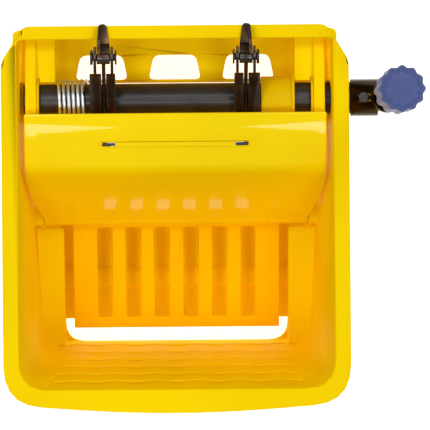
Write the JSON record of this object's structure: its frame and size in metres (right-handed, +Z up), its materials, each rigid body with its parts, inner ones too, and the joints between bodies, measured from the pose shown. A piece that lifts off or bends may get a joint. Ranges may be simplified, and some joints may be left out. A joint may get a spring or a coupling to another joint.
{
  "type": "mop wringer",
  "caption": "Mop wringer for a mopping bucket: an open tub with a hinged press hood, a slatted grate, a cross shaft with levers and an upright side handle.",
  "frame": {"origin": "middle of the whole wringer's bounding box, on the ground that the tub stands on", "axes": "+Z up along the handle; +X towards the handle's side; -Y towards the front, where the mop goes in and the handle is pulled to"},
  "size_m": [0.365, 0.3468, 0.555],
  "materials": {
    "tub": "glossy moulded yellow",
    "hood": "glossy moulded yellow",
    "grate": "satin moulded yellow",
    "bush": "satin moulded yellow",
    "grip": "satin moulded blue-violet",
    "black_steel": "glossy black",
    "lever_steel": "dark oiled steel",
    "zinc": "bright zinc plate",
    "chrome_steel": "bright plated steel"
  },
  "bodies": {
    "tub": {"housing": "tub", "strainer_grate": "grate", "bush_left": "bush", "bush_right": "bush", "grate_screw_left": "zinc", "grate_screw_right": "zinc", "hood_pivot_pin_left": "zinc", "hood_pivot_pin_right": "zinc"},
    "hood": {"press_hood": "hood", "hood_clevis_left": "black_steel", "hood_clevis_right": "black_steel", "link_pin_left": "zinc", "link_pin_right": "zinc"},
    "shaft_and_handle": {"shaft": "black_steel", "spacer_sleeve": "bush", "torsion_spring": "zinc", "crank_left": "lever_steel", "crank_right": "lever_steel", "crank_pin_left": "black_steel", "crank_pin_right": "black_steel", "crank_pin_clip_left": "black_steel", "crank_pin_clip_right": "black_steel", "handle_socket": "chrome_steel", "handle_tube": "chrome_steel", "grip": "grip", "socket_bolt": "black_steel", "socket_nut": "black_steel"},
    "link_left": {"link_left": "lever_steel"},
    "link_right": {"link_right": "lever_steel"}
  },
  "joints": [
    {"name": "handle_turn", "type": "hinge", "parent": "tub", "child": "shaft_and_handle", "pos_m": [-0.0275, 0.10694, 0.215], "axis": [1, 0, 0], "range_deg": [0, 75], "stiffness_Nm_per_rad": 1.2, "springref_deg": -28.65},
    {"name": "hood_fold", "type": "hinge", "parent": "tub", "child": "hood", "pos_m": [-0.0275, 0.00294, 0.103], "axis": [1, 0, 0], "range_deg": [0, 39.3]},
    {"name": "link_left_swing", "type": "hinge", "parent": "shaft_and_handle", "child": "link_left", "pos_m": [-0.0909, 0.14344, 0.263], "axis": [1, 0, 0], "range_deg": [-82, 0]},
    {"name": "link_right_swing", "type": "hinge", "parent": "shaft_and_handle", "child": "link_right", "pos_m": [0.0359, 0.14344, 0.263], "axis": [1, 0, 0], "range_deg": [-82, 0]}
  ],
  "couplings": [
    {"joint": "hood_fold", "follows": "handle_turn", "ratio": 0.5229},
    {"joint": "link_left_swing", "follows": "handle_turn", "ratio": -1.0904},
    {"joint": "link_right_swing", "follows": "handle_turn", "ratio": -1.0904}
  ]
}
